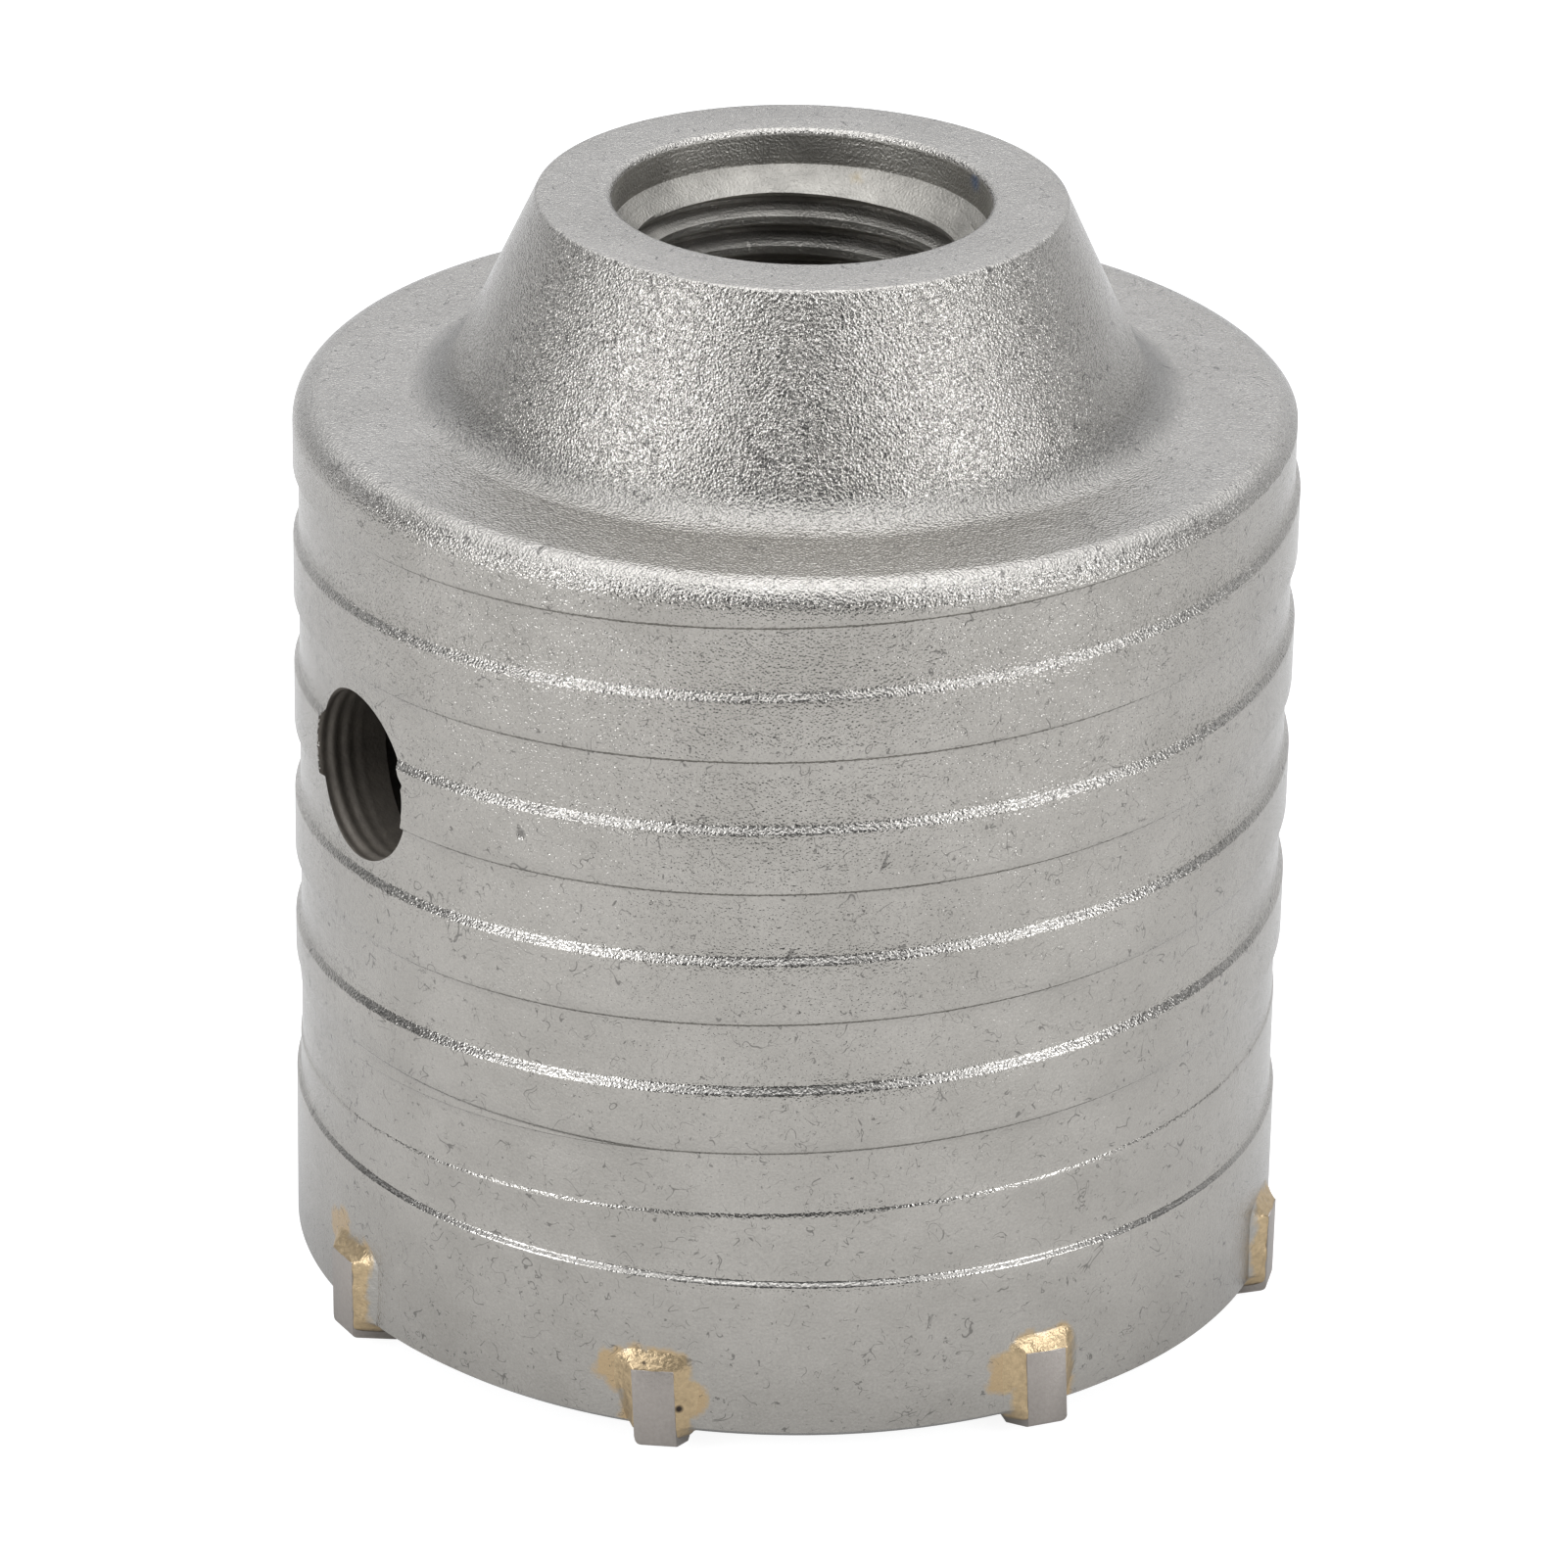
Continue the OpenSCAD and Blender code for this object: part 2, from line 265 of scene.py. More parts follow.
def cup_mesh(s):
    """The steel cup as one closed shell, with its groove, run-out ring and thread."""
    shell = Shell(COLUMNS)
    corner_z = s.shoulder_z - s.shoulder_r
    flat_r = s.wall_r - s.shoulder_r

    def turn(az):
        """Rise of the groove at an azimuth."""
        return s.groove_pitch * az / (2 * pi)

    def outline(z):
        rise = np.clip((z - corner_z) / s.shoulder_r, 0, 1)
        top = flat_r + s.shoulder_r * np.sqrt(1 - rise ** 2)
        foot = np.clip((z - s.rim_z) / s.rim_bevel_h, 0, 1)
        return np.minimum(top, s.wall_r - s.rim_bevel * (1 - foot))

    flank = eased(s.groove_flank, s.groove_depth, SOFTEN)
    lip = eased(s.groove_lip, s.groove_depth, 0.6 * SOFTEN)
    ring = eased(s.ring_flank, s.ring_depth, 0.8 * SOFTEN)
    lower_turns = ceil((s.groove_z - s.ring_z) / s.groove_pitch) + 1
    upper_turns = ceil((s.shoulder_z - s.groove_z) / s.groove_pitch) + 1
    turns = range(-lower_turns, upper_turns + 1)

    def groove(az, z):
        """Depth of the helical groove, which starts inside the run-out ring."""
        height = z - s.groove_z - turn(az)
        k = np.round((height - s.groove_w / 2) / s.groove_pitch)
        local = height - k * s.groove_pitch
        section = flank + [(s.groove_w - x, y) for x, y in reversed(lip)]
        depth = ramp(local, section)
        start = s.groove_z + turn(az) + k * s.groove_pitch
        return np.where(start > s.ring_z + s.groove_flank / 2, depth, 0)

    def recess(z):
        section = ring + [(s.ring_w - x, y) for x, y in reversed(ring)]
        return ramp(z - s.ring_z, section)

    def wall(az, z):
        floor_r = s.wall_r - np.maximum(groove(az, z), recess(z))
        return np.minimum(outline(z), floor_r)

    level = [s.rim_z, s.rim_z + s.rim_bevel_h, corner_z]
    level += [s.ring_z + x for x, _ in ring] + [s.ring_z + s.ring_w - x for x, _ in ring]
    level = spaced(level, ROW_STEP)
    level += [corner_z + s.shoulder_r * sin(radians(a)) for a in range(3, 91, 3)]
    helix = []
    for k in turns:
        base = s.groove_z + k * s.groove_pitch
        for x in [x for x, _ in flank] + [s.groove_w - x for x, _ in lip]:
            helix.append(lambda az, b=base + x: b + turn(az))
    shell.wall(level, helix, wall, True)

    # Shoulder, fillet, hub cone and hub face
    slope = degrees(s.hub_angle)
    foot_r = s.hub_top_r + (s.hub_z - s.shoulder_z) * tan(s.hub_angle)
    fillet_x = foot_r - s.hub_fillet_r * tan(s.hub_angle) + s.hub_fillet_r / cos(s.hub_angle)
    edge_x = s.hub_top_r + s.hub_edge_r * tan(s.hub_angle) - s.hub_edge_r / cos(s.hub_angle)
    shell.rings([(flat_r + (fillet_x - flat_r) * t, s.shoulder_z) for t in (0.33, 0.66)])
    fillet = arc(fillet_x, s.shoulder_z + s.hub_fillet_r, s.hub_fillet_r, 270, 180 + slope, 20)
    edge = arc(edge_x, s.hub_z - s.hub_edge_r, s.hub_edge_r, slope, 90, 6)
    shell.rings(fillet + between(fillet[-1], edge[0], 10) + edge)
    shell.rings([((s.counterbore_r + edge_x) / 2, s.hub_z)])
    lip_r = s.bore_lip_r
    shell.rings(arc(s.counterbore_r + lip_r, s.hub_z - lip_r, lip_r, 90, 180, 8))

    # Bore with its lead-in cone and thread, a row lower at each step
    thread_h = thread_height(s)
    crest_r = s.thread_d / 2 - thread_h
    crest = s.thread_pitch / 4
    root = s.thread_pitch / 8
    chamfer_z = s.cavity_z + thread_h

    def bore(z):
        return ramp(z, [(s.cavity_z, s.thread_d / 2), (chamfer_z, crest_r), (s.lead_z, crest_r),
                        (s.counterbore_z, s.counterbore_r)])

    half = s.thread_pitch / 2
    profile = [(-half, thread_h), (-half + root / 2, thread_h), (-crest / 2, 0), (crest / 2, 0),
               (half - root / 2, thread_h), (half, thread_h)]

    def thread(az, z):
        local = z - s.thread_z - s.thread_pitch * az / (2 * pi)
        local = local - np.round(local / s.thread_pitch) * s.thread_pitch
        return np.maximum(bore(z), crest_r + ramp(local, profile))

    level = spaced([s.cavity_z, chamfer_z, s.lead_z, s.counterbore_z], BORE_STEP)
    helix = []
    for k in range(-int((s.lead_z - s.cavity_z) / s.thread_pitch) - 2, 3):
        for x, _ in profile[:-1]:
            helix.append(lambda az, b=s.thread_z + k * s.thread_pitch + x:
                         b + s.thread_pitch * az / (2 * pi))
    above_floor = 0.6 * MM
    shell.rings([(s.counterbore_r, s.counterbore_z + above_floor)])
    shell.wall(level, helix, thread, False)

    # Inside of the cup
    corner_x, inner_z = s.bore_r - s.inner_r, s.cavity_z - s.inner_r
    shell.rings(between((s.thread_d / 2, s.cavity_z), (corner_x, s.cavity_z), 6))
    shell.rings(arc(corner_x, inner_z, s.inner_r, 90, 0, 12))
    shell.rings(between((s.bore_r, inner_z), (s.bore_r, s.rim_z), 24) + [(s.bore_r, s.rim_z)])
    return shell.mesh("cup_steel_shell")


def ridged_cutter(s):
    """A rod with fine ridges that cuts the side hole, as a tap leaves it, and that flares where
    it leaves the wall, so that the edge of the hole is broken and a little ragged."""
    segments, turn_steps = 120, 12
    inner, outer = 24.0 * MM, 34.0 * MM
    ridge_h, flare, ragged = 0.2 * MM, 0.05 * MM, 0.04 * MM
    flare_w, ridges_w = 0.6 * MM, 3.6 * MM
    chip_az, chip_w, chip_h = radians(16), 0.05, 0.3 * MM
    rows = int((outer - inner) / s.hole_pitch * turn_steps)
    draw = random.Random(5)
    knocks = [draw.uniform(-1, 1) for _ in range(segments)]
    points, faces = [], []
    for i in range(rows + 1):
        x = inner + (outer - inner) * i / rows
        for j in range(segments):
            a = 2 * pi * j / segments
            deep = sqrt(s.wall_r ** 2 - (s.hole_r * cos(a)) ** 2) - x
            near = min(max(1 - deep / flare_w, 0.0), 1.0)
            ridge = 0.5 - 0.5 * cos(2 * pi * (x / s.hole_pitch - j / segments))
            fade = min(max(1 - deep / ridges_w, 0.0), 1.0)
            chip = chip_h * max(0.0, 1 - ((a - chip_az) / chip_w) ** 2)
            r = s.hole_r - ridge_h * ridge * fade * (1 - near)
            r += near * flare + near ** 3 * (ragged * knocks[j] + chip)
            points.append((x, r * cos(a), r * sin(a)))
    for i in range(rows):
        for j in range(segments):
            k = (j + 1) % segments
            faces.append((i * segments + j, i * segments + k,
                          (i + 1) * segments + k, (i + 1) * segments + j))
    faces.append(tuple(range(segments - 1, -1, -1)))
    faces.append(tuple(rows * segments + j for j in range(segments)))
    data = bpy.data.meshes.new("hole_cutter")
    data.from_pydata(points, [], faces)
    # The rod is drawn along +X, which is azimuth 90
    data.transform(Matrix.Translation((0, 0, s.hole_z))
                   @ Matrix.Rotation(s.hole_az - pi / 2, 4, "Z"))
    return data


def box_mesh(name, low, high, turn_az):
    """A box drawn along +X and turned to an azimuth."""
    (x0, y0, z0), (x1, y1, z1) = low, high
    points = [(x, y, z) for x in (x0, x1) for y in (y0, y1) for z in (z0, z1)]
    faces = [(0, 1, 3, 2), (4, 6, 7, 5), (0, 4, 5, 1), (2, 3, 7, 6), (0, 2, 6, 4), (1, 5, 7, 3)]
    data = bpy.data.meshes.new(name)
    data.from_pydata(points, [], faces)
    data.transform(Matrix.Rotation(turn_az - pi / 2, 4, "Z"))
    return data


def combine(obj, tools, operation):
    """Cuts other meshes, which don't touch each other, out of the object, or adds them to it."""
    joined = bmesh.new()
    for data in tools:
        joined.from_mesh(data)
    whole = bpy.data.meshes.new("tools")
    joined.to_mesh(whole)
    joined.free()
    tool = add_object("tool", whole)
    modifier = obj.modifiers.new("combine", "BOOLEAN")
    modifier.operation, modifier.solver, modifier.object = operation, "EXACT", tool
    bpy.context.view_layer.update()
    result = bpy.data.meshes.new_from_object(
        obj.evaluated_get(bpy.context.evaluated_depsgraph_get()))
    obj.modifiers.clear()
    obj.data = result
    bpy.data.objects.remove(tool)


def smooth(obj, sharp_above):
    """Shades the object smooth, but for edges sharper than this many degrees."""
    obj.data.shade_smooth()
    obj.data.set_sharp_from_angle(angle=radians(sharp_above))


def finish(obj, *materials):
    """Gives the object these materials and no other."""
    obj.data.materials.clear()
    for material in materials:
        obj.data.materials.append(material)


def tip_azimuth(t, i):
    return t.first_az + i * 2 * pi / TIP_COUNT


# How each tip sits in its slot: the turn of its outer face and its lean, in degrees
TIP_SET = ((0, 1), (9, 3), (-9, 3.3), (2, -1), (-3, 1), (4, -2), (0, 1.5), (-4, -1))

# The side on which the lower edge of each tip is worn round
WORN = (-1, -1, 1, 1, -1, 1, -1, 1)

# The side on which each braze run hangs below the rim
DRIPS = (1, 1, -1, -1, 1, -1, 1, -1)


# The outer face of a tip starts this far inside the wall's radius, and its lower corner ends this
# far above the rim
FACE_FROM, CORNER_TO = 1 * MM, 0.6 * MM

# Directions of the flat cuts that round a worn edge, in degrees from the tip's side
WEAR_CUTS = (15, 38, 60, 80)


def set_in_slot(s, t, i, x, y, z):
    """Where a point of a straight tip, drawn along +X, comes to lie in its slot."""
    face_turn, lean = (tan(radians(a)) for a in TIP_SET[i])
    if x > s.wall_r - FACE_FROM:
        x -= abs(face_turn) * t.thickness / 2 + face_turn * y
        if z < s.rim_z + CORNER_TO:
            z *= t.outer_drop
    return x, y + lean * ((t.top + s.rim_z) / 2 - z), z


def wear_edge(shape, s, t, i):
    """Rounds the lower edge of a tip's outer slope on its worn side, with a few flat cuts."""
    side = Vector((0, WORN[i], 0))
    down = Vector((t.roof * t.outer_drop, 0, (t.inner_r - t.tip_r) / 2)).normalized()
    corner = Vector(set_in_slot(s, t, i, t.tip_r, WORN[i] * t.thickness / 2, t.roof))
    middle = corner - t.worn_r * (side + down)
    for turned in WEAR_CUTS:
        way = cos(radians(turned)) * side + sin(radians(turned)) * down
        cut = bmesh.ops.bisect_plane(
            shape, geom=shape.verts[:] + shape.edges[:] + shape.faces[:], dist=0.001 * MM,
            plane_co=middle + t.worn_r * way, plane_no=way, clear_outer=True)
        outline = [part for part in cut["geom_cut"] if isinstance(part, bmesh.types.BMEdge)]
        bmesh.ops.contextual_create(shape, geom=outline)


def braze_mesh(s, t, i):
    """One braze run: a hollow ramp that climbs from the wall to the tip's outer face, wider on
    one side, with a lump that hangs beside the tip under the rim."""
    draw = random.Random(40 + i)
    side_w = {sign: t.bead_side_w * draw.uniform(0.9, 1.15) for sign in (-1, 1)}
    drip_side = DRIPS[i]
    # The lump's height and width, and how far its foot goes back under the rim
    drip_h, drip_w, drip_back = 0.8 * MM, 0.95 * MM, 1.3 * MM
    # Waves of the surface, each with its radians per metre
    wave_turns, lump = (2600, 3100, 4700), 0.02 * MM
    phase = [draw.uniform(0, 2 * pi) for _ in wave_turns]
    half, across, up = t.thickness / 2, 72, 64
    # Past its edge the run sinks into the wall, and its crest stays short of the tip's face
    reach, sink, deepest, short = 1.12, 0.5 * MM, 0.8 * MM, 0.04 * MM
    root_r = s.wall_r - 2.4 * MM
    narrow_h, narrow_drip, narrow_other = 3 * MM, 0.2, 0.75

    def height(u, v):
        """Height over the wall, below it where the run has ended."""
        du, dv = max(abs(u) - half, 0.0), max(v - t.top, 0.0)
        # The run narrows towards the rim, but for the side on which it hangs
        rise = min(max((v - s.rim_z) / narrow_h, 0.0), 1.0)
        narrow = 1 - (narrow_drip if u * drip_side > 0 else narrow_other) * (1 - rise)
        e = sqrt((du / (narrow * side_w[1 if u > 0 else -1])) ** 2 + (dv / t.bead_w) ** 2)
        if e > 1:
            return -min(sink * (e - 1), deepest)
        waves = sum(sin(way * turns + start)
                    for way, turns, start in zip((u, v, u + v), wave_turns, phase))
        crest = set_in_slot(s, t, i, t.tip_r, min(max(u, -half), half), v)[0] - s.wall_r
        return (crest - short) * (1 - e) ** 1.25 + lump * waves * (1 - e)

    outer, inner = [], []
    for a in range(across + 1):
        side = 2 * a / across - 1
        u = side * (half + side_w[1 if side > 0 else -1] * reach)
        du = max(abs(u) - half, 0.0)
        hang = drip_h * max(0.0, 1 - (du / drip_w) ** 1.7) if u * drip_side > 0 else 0.0
        low_z, high_z = s.rim_z - hang, t.top + t.bead_w * reach
        for b in range(up + 1):
            v = low_z + (high_z - low_z) * b / up
            foot = min(max((v - s.rim_z) / s.rim_bevel_h, 0.0), 1.0)
            under = s.rim_bevel * (1 - foot)
            below = max(0.0, (s.rim_z - v) / drip_h)
            fill = under * max(0.0, 1 - du / drip_w) if u * drip_side > 0 else 0.0
            r = s.wall_r - under + fill + height(u, v) * (1 - below ** 2)
            r -= drip_back * below ** 1.6
            outer.append((sqrt(max(r * r - u * u, 0.0)), u, v))
            inner.append((root_r, u, v))
    row = up + 1
    count = len(outer)
    faces = []
    for a in range(across):
        for b in range(up):
            p = a * row + b
            faces.append((p, p + row, p + row + 1, p + 1))
            faces.append((count + p, count + p + 1, count + p + row + 1, count + p + row))
    for a in range(across):
        for p in (a * row, a * row + up):
            faces.append((p, p + row, count + p + row, count + p))
    for b in range(up):
        for p in (b, across * row + b):
            faces.append((p, p + 1, count + p + 1, count + p))
    data = bpy.data.meshes.new(f"braze_run_{i + 1}")
    data.from_pydata(outer + inner, [], faces)
    fix = bmesh.new()
    fix.from_mesh(data)
    bmesh.ops.recalc_face_normals(fix, faces=fix.faces)
    fix.to_mesh(data)
    fix.free()
    data.transform(Matrix.Rotation(tip_azimuth(t, i) - pi / 2, 4, "Z"))
    return data


# Materials

def node(tree, kind, sockets=(), out=0, **settings):
    """Adds a node, sets its properties, sets or links its sockets, and gives one output."""
    made = tree.nodes.new(kind)
    for key, value in settings.items():
        setattr(made, key, value)
    for key, value in (sockets.items() if isinstance(sockets, dict) else enumerate(sockets)):
        if isinstance(value, bpy.types.NodeSocket):
            tree.links.new(value, made.inputs[key])
        else:
            made.inputs[key].default_value = value
    return made.outputs[out] if made.outputs else made


# Textures are laid out in millimetres
PER_MM = 1000.0

# Sockets of a colour Mix node
MIX_A, MIX_B, MIX_OUT = 6, 7, 2


def calc(tree, operation, *values):
    return node(tree, "ShaderNodeMath", values, operation=operation)


def remap(tree, value, start, end, low=0.0, high=1.0, curve="LINEAR"):
    """The value with start to end turned into low to high, and kept between them."""
    return node(tree, "ShaderNodeMapRange", {
        "Value": value, "From Min": start, "From Max": end, "To Min": low, "To Max": high},
        interpolation_type=curve)


def noise(tree, where, scale, detail=2.0, roughness=0.5):
    return node(tree, "ShaderNodeTexNoise", {
        "Vector": where, "Scale": scale, "Detail": detail, "Roughness": roughness})


def mix(tree, part, first, second):
    return node(tree, "ShaderNodeMix", {0: part, MIX_A: first, MIX_B: second}, out=MIX_OUT,
                data_type="RGBA")


def scaled(tree, vector, factor):
    return node(tree, "ShaderNodeVectorMath", {0: vector, "Scale": factor}, operation="SCALE")


def gap_to(tree, where, point):
    return node(tree, "ShaderNodeVectorMath", [where, point], out="Value", operation="DISTANCE")


def axis(tree, where, name):
    return node(tree, "ShaderNodeSeparateXYZ", [where], out=name)


def from_axis(tree, where):
    """Distance from the axis of the cup."""
    level = node(tree, "ShaderNodeVectorMath", [where, (1.0, 1.0, 0.0)], operation="MULTIPLY")
    return node(tree, "ShaderNodeVectorMath", [level], out="Value", operation="LENGTH")


def new_material(name):
    """A material with its node tree and its place in millimetres."""
    material = bpy.data.materials.new(name)
    material.use_nodes = True
    tree = material.node_tree
    tree.nodes.clear()
    where = node(tree, "ShaderNodeTexCoord", out="Object")
    return material, tree, scaled(tree, where, PER_MM)


def metal(tree, colour, height, bump_mm, roughness, strength=1.0, metallic=1.0):
    """The shader of a metal, with relief this many millimetres high in its normals."""
    bump = node(tree, "ShaderNodeBump", {
        "Height": height, "Strength": strength, "Distance": bump_mm * MM}, out="Normal")
    shader = node(tree, "ShaderNodeBsdfPrincipled", {
        "Base Color": colour, "Normal": bump, "Metallic": metallic, "Roughness": roughness})
    node(tree, "ShaderNodeOutputMaterial", {"Surface": shader})


# Small pits on the hub and nicks on its edge, each as azimuth, radius, height and size in mm
PITS = ((0.0, 18.0, 68.6, 0.16), (0.3, 21.1, 61.9, 0.14), (-63.0, 16.4, 71.8, 0.22),
        (44.0, 16.45, 71.8, 0.26), (-43.0, 16.45, 71.8, 0.2), (-31.0, 31.5, 40.6, 0.3),
        (-18.0, 31.3, 32.9, 0.16), (14.0, 29.9, 58.9, 0.2))

# Where more braze has run out: the tip, millimetres beside its middle, height and radius in mm
RUN_OUTS = ((0, -1.9, 7.0, 1.5), (1, -2.5, 5.6, 1.5), (1, 1.4, 4.3, 1.8), (2, -2.4, 4.9, 1.5),
            (2, 1.4, 6.0, 1.1), (4, 2.2, 6.0, 1.6), (5, -2.0, 5.5, 1.7), (6, 1.8, 6.8, 1.2))

# Stains in the bore, each as azimuth, radius, height and size in mm and colour
BORE_STAINS = ((162.0, 11.2, 69.3, 0.5, "#8E8060"), (113.0, 11.75, 71.2, 0.6, "#6F7F9E"))

# The pinhole in a braze run: the tip, and millimetres beside its middle, off the wall and high
PINHOLE = (1, 1.55, 0.4, 3.6)

# The halo of braze round a tip: its width above the tip in mm, how much narrower it is beside it,
# how ragged it is in mm, and the levels between which its edge fades
HALO_W, HALO_SIDE, HALO_RAGGED, HALO_EDGE = 1.2, 1.2, 2.2, (-0.85, -1.35)

# The fibres of dust, each kind with its spread per mm, shift, width and rarity
FIBRES = ((0.45, 3.1, 0.0075, 0.60), (0.8, 17.0, 0.011, 0.61), (1.5, 41.0, 0.016, 0.66))


def fibres(tree, mm, spread, shift, wide, rare):
    """Mask of short curling lines: the contour of one noise, kept where another is high."""
    moved = node(tree, "ShaderNodeVectorMath", [mm, (shift, 0.37 * shift, -0.61 * shift)],
                 operation="ADD")
    shape = node(tree, "ShaderNodeTexNoise", {
        "Vector": moved, "Scale": spread, "Detail": 1.5, "Roughness": 0.5, "Distortion": 0.9})
    off = calc(tree, "SUBTRACT", shape, 0.5)
    near = calc(tree, "ABSOLUTE", off)
    line = remap(tree, near, wide, 0.35 * wide)
    kept = noise(tree, moved, 1.3 * spread, 0.0)
    some = remap(tree, kept, rare, rare + 0.02)
    return calc(tree, "MULTIPLY", line, some)


def halo(tree, mm, s, t):
    """Mask of the braze that has run out round the tips, with soft uneven edges."""
    x, y, z = (axis(tree, mm, name) for name in "XYZ")
    back = calc(tree, "MULTIPLY", y, -1.0)
    az = calc(tree, "ARCTAN2", x, back)
    step = 2 * pi / TIP_COUNT
    turn = calc(tree, "ADD", az, step / 2 - t.first_az)
    turn = calc(tree, "FLOORED_MODULO", turn, step)
    along = calc(tree, "SUBTRACT", turn, step / 2)
    along = calc(tree, "MULTIPLY", along, s.wall_r * PER_MM)
    beside = calc(tree, "ABSOLUTE", along)
    beside = calc(tree, "SUBTRACT", beside, t.thickness / 2 * PER_MM)
    above = calc(tree, "SUBTRACT", z, t.top * PER_MM)
    beside = calc(tree, "MULTIPLY", beside, HALO_SIDE)
    away = node(tree, "ShaderNodeCombineXYZ", [calc(tree, "MAXIMUM", beside, 0.0),
                                               calc(tree, "MAXIMUM", above, 0.0), 0.0])
    away = node(tree, "ShaderNodeVectorMath", [away], out="Value", operation="LENGTH")
    away = calc(tree, "SUBTRACT", away, HALO_W)
    for i, side, high, wide in RUN_OUTS:
        middle = tip_azimuth(t, i) + side * MM / s.wall_r
        gap = gap_to(tree, mm, around(s.wall_r * PER_MM, middle, high))
        gap = calc(tree, "SUBTRACT", gap, wide)
        away = calc(tree, "MINIMUM", away, gap)
    ragged = noise(tree, mm, 0.6, 4.0, 0.62)
    away = calc(tree, "MULTIPLY_ADD", ragged, -HALO_RAGGED, away)
    return remap(tree, away, *HALO_EDGE, high=0.95)


def blasted_steel(f, s, t):
    """Mild steel, turned and then bead blasted: a warm grey, even metal with a fine sparkling
    grain, dull patches, a gold stain where braze has run, and dark fibres that cling to it."""
    material, tree, mm = new_material("bead_blasted_steel")
    z = axis(tree, mm, "Z")
    radius = from_axis(tree, mm)

    # Dull and light patches, some millimetres wide
    patch = noise(tree, mm, 0.16, 4.0, 0.65)
    patch = remap(tree, patch, 0.38, 0.66)
    shade = mix(tree, patch, tuple(f.steel), tuple(f.steel_dark))

    # Mottle of single grains, 0.15 mm wide
    mottle = noise(tree, mm, 6.5, 1.0)
    tone = remap(tree, mottle, 0.25, 0.75, 0.93, 1.07)
    shade = scaled(tree, shade, tone)

    gold = halo(tree, mm, s, t)
    shade = mix(tree, gold, shade, tuple(f.stain))

    # Dust fibres 0.1 mm wide and a few millimetres long, and specks of dirt
    dots = node(tree, "ShaderNodeTexVoronoi", {"Vector": mm, "Scale": 0.75}, out="Distance")
    speck = remap(tree, dots, 0.07, 0.035)
    pick = node(tree, "ShaderNodeSeparateColor", [dots.node.outputs["Color"]], out="Red")
    pick = calc(tree, "LESS_THAN", pick, 0.3)
    dirt = calc(tree, "MULTIPLY", speck, pick)
    for kind in FIBRES:
        dirt = calc(tree, "MAXIMUM", dirt, fibres(tree, mm, *kind))
    pit = 0.0
    for az_deg, r, high, size in PITS:
        gap = gap_to(tree, mm, around(r, radians(az_deg), high))
        hole = remap(tree, gap, 1.3 * size, 0.6 * size)
        pit = calc(tree, "MAXIMUM", pit, hole)
    dirt = calc(tree, "MAXIMUM", dirt, pit)
    faint = calc(tree, "MULTIPLY", dirt, 0.6)
    shade = mix(tree, faint, shade, tuple(f.dust))

    # Blast craters 0.2 mm wide over a coarser dimpling, and faint turning marks under them
    grain = noise(tree, mm, 8.0, 1.0)
    crater = node(tree, "ShaderNodeTexVoronoi", {"Vector": mm, "Scale": 5.2}, out="Distance")
    dimple = noise(tree, mm, 1.3, 1.0)
    height = calc(tree, "MULTIPLY_ADD", crater, 0.8, grain)
    height = calc(tree, "MULTIPLY_ADD", dimple, 0.6, height)

    # Painted shade: the steel's colour is made darker in the fillet at the foot of the hub
    low = remap(tree, z, 61.6, 60.2)
    foot = remap(tree, radius, 24.5, 23.1)
    painted_fillet_shade = calc(tree, "MULTIPLY", low, foot)
    painted_fillet_shade = calc(tree, "MULTIPLY_ADD", painted_fillet_shade, -0.24, 1.0)
    shade = scaled(tree, shade, painted_fillet_shade)

    section = node(tree, "ShaderNodeCombineXYZ", [radius, 0.0, z])
    marks = noise(tree, section, 2.6, 1.0)
    height = calc(tree, "MULTIPLY_ADD", marks, 0.35, height)
    # The blast was strongest on the hub and weaker towards the rim
    blast = remap(tree, z, 4.0, 60.0, 0.3, 0.97)
    hub = remap(tree, z, 59.5, 62.0)
    blast = calc(tree, "MAXIMUM", blast, hub)
    height = calc(tree, "MULTIPLY", height, blast)
    height = calc(tree, "MULTIPLY_ADD", pit, -1.5, height)
    metal(tree, shade, height, bump_mm=0.06, roughness=0.22)
    return material


def oily_steel(f):
    """Steel left as it was tapped and bored, with cutting oil baked on: brown black and dull,
    with a little shine on the ridges."""
    material, tree, mm = new_material("oily_tapped_steel")
    smear = noise(tree, mm, 0.9, 4.0, 0.6)
    shade = mix(tree, smear, tuple(f.oil_and_root_shade), tuple(f.oil_light))
    grain = noise(tree, mm, 4.0, 2.0)
    metal(tree, shade, grain, bump_mm=0.05, roughness=0.55, strength=0.6, metallic=0.35)
    return material


